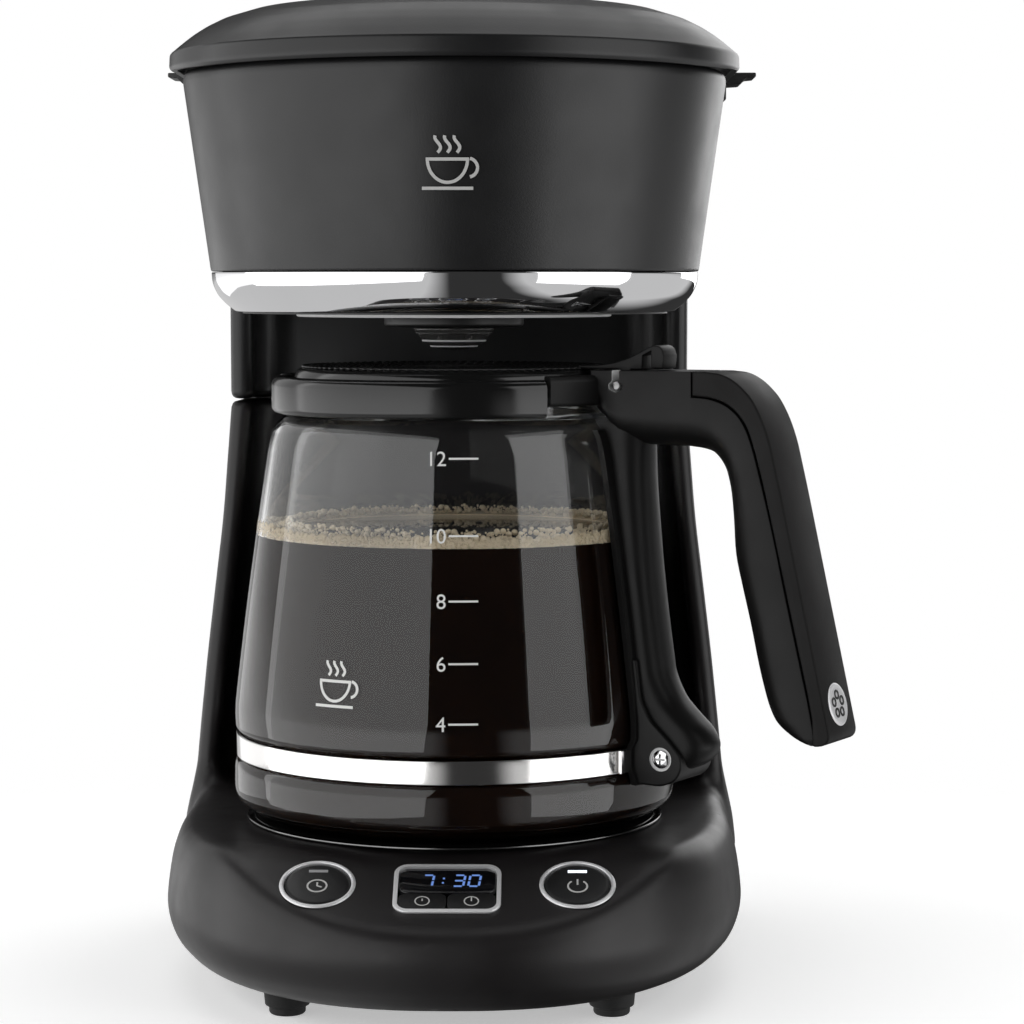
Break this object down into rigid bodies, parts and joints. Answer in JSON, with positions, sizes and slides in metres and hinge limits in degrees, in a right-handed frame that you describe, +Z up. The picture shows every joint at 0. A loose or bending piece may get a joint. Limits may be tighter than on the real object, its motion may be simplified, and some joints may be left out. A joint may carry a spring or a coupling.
{
  "type": "drip coffee maker",
  "caption": "Drip coffee maker with a hinged lid, lift-out filter basket, drip stop, hotplate, glass carafe and sloped control panel.",
  "frame": {"origin": "middle of the bounding box at the counter the feet stand on", "axes": "+Z up, the controls face -Y, +X to the right seen from the front"},
  "size_m": [0.2398, 0.24, 0.328],
  "materials": {
    "warm_black": "fine matte moulded plastic",
    "charcoal": "fine matte moulded plastic",
    "inner_black": "matte moulded plastic",
    "gloss_black": "polished moulded plastic",
    "handle_black": "satin moulded plastic",
    "handle_cover": "fine matte moulded plastic",
    "display_black": "polished window",
    "hotplate_coating": "smooth non-stick coating",
    "chrome_trim": "bright plated",
    "steel": "bright steel",
    "band_steel": "bright rolled band",
    "rubber": "matte rubber",
    "milky_tube": "milky silicone",
    "smoke_plastic": "smoky moulded plastic",
    "clear_smoke": "translucent smoky plastic",
    "aluminium": "cast aluminium",
    "thermostat_body": "glazed ceramic",
    "board_green": "coated circuit board",
    "filter_amber": "fine mesh in a moulded frame",
    "carafe_glass": "clear polished glass"
  },
  "bodies": {
    "machine": {"lower_housing": "warm_black", "neck_housing": "charcoal", "head_shell": "charcoal", "chrome_trim": "chrome_trim", "head_floor": "inner_black", "base_plate": "inner_black", "cord_gland": "rubber", "water_tank": "smoke_plastic", "riser_tube": "milky_tube", "inlet_hose": "milky_tube", "check_valve": "milky_tube", "heater_tube": "aluminium", "hotplate": "hotplate_coating", "hotplate_ring": "chrome_trim", "thermostat": "thermostat_body", "thermal_fuse": "aluminium", "timer_button_ring": "chrome_trim", "start_button_ring": "chrome_trim", "display_bezel": "chrome_trim", "display_window": "display_black", "display_module": "inner_black", "control_board": "board_green", "hinge_ear_left": "inner_black", "hinge_ear_right": "inner_black", "hinge_pin_left": "steel", "hinge_pin_right": "steel", "foot_1": "rubber", "plate_screw_1": "steel", "foot_2": "rubber", "plate_screw_2": "steel", "foot_3": "rubber", "plate_screw_3": "steel", "foot_4": "rubber", "plate_screw_4": "steel"},
    "lid": {"top_lid": "charcoal", "shower_head": "inner_black"},
    "brew_basket": {"brew_basket": "inner_black", "coffee_filter": "filter_amber", "drip_stop_seat": "inner_black"},
    "drip_stop": {"drip_stop": "clear_smoke", "drip_stop_spring": "steel"},
    "carafe": {"carafe_glass": "carafe_glass", "carafe_band": "band_steel", "carafe_collar": "gloss_black", "handle_spine": "gloss_black", "handle_grip": "handle_black", "handle_cover": "handle_cover", "handle_badge": "steel", "band_screw": "steel", "lid_pivot_pin": "steel"},
    "carafe_lid": {"carafe_lid": "gloss_black", "thumb_lever": "gloss_black"},
    "timer_button": {"timer_button": "charcoal"},
    "start_button": {"start_button": "charcoal"},
    "hour_key": {"hour_key": "charcoal"},
    "minute_key": {"minute_key": "charcoal"}
  },
  "joints": [
    {"name": "lid_hinge", "type": "hinge", "parent": "machine", "child": "lid", "pos_m": [-0.01091, 0.115, 0.3065], "axis": [-1, 0, 0], "range_deg": [0, 95]},
    {"name": "carafe_slide", "type": "slide", "parent": "machine", "child": "carafe", "axis": [0, -1, 0], "range_m": [0, 0.25]},
    {"name": "carafe_lid_hinge", "type": "hinge", "parent": "carafe", "child": "carafe_lid", "pos_m": [0.04769, -0.04248, 0.2005], "axis": [0.4848, 0.8746, 0], "range_deg": [0, 4]},
    {"name": "basket_lift", "type": "slide", "parent": "machine", "child": "brew_basket", "axis": [0, 0, 1], "range_m": [0, 0.018]},
    {"name": "drip_stop_rise", "type": "slide", "parent": "brew_basket", "child": "drip_stop", "axis": [0, 0, 1], "range_m": [0, 0.0035], "stiffness_N_per_m": 150, "springref_m": -0.004, "deforming": ["drip_stop_spring"]},
    {"name": "timer_button_press", "type": "slide", "parent": "machine", "child": "timer_button", "axis": [0, 0.4384, -0.8988], "range_m": [0, 0.0012], "stiffness_N_per_m": 600, "springref_m": -0.0008},
    {"name": "start_button_press", "type": "slide", "parent": "machine", "child": "start_button", "axis": [0, 0.4384, -0.8988], "range_m": [0, 0.0012], "stiffness_N_per_m": 600, "springref_m": -0.0008},
    {"name": "hour_key_press", "type": "slide", "parent": "machine", "child": "hour_key", "axis": [0, 0.4384, -0.8988], "range_m": [0, 0.0008], "stiffness_N_per_m": 600, "springref_m": -0.0008},
    {"name": "minute_key_press", "type": "slide", "parent": "machine", "child": "minute_key", "axis": [0, 0.4384, -0.8988], "range_m": [0, 0.0008], "stiffness_N_per_m": 600, "springref_m": -0.0008}
  ]
}
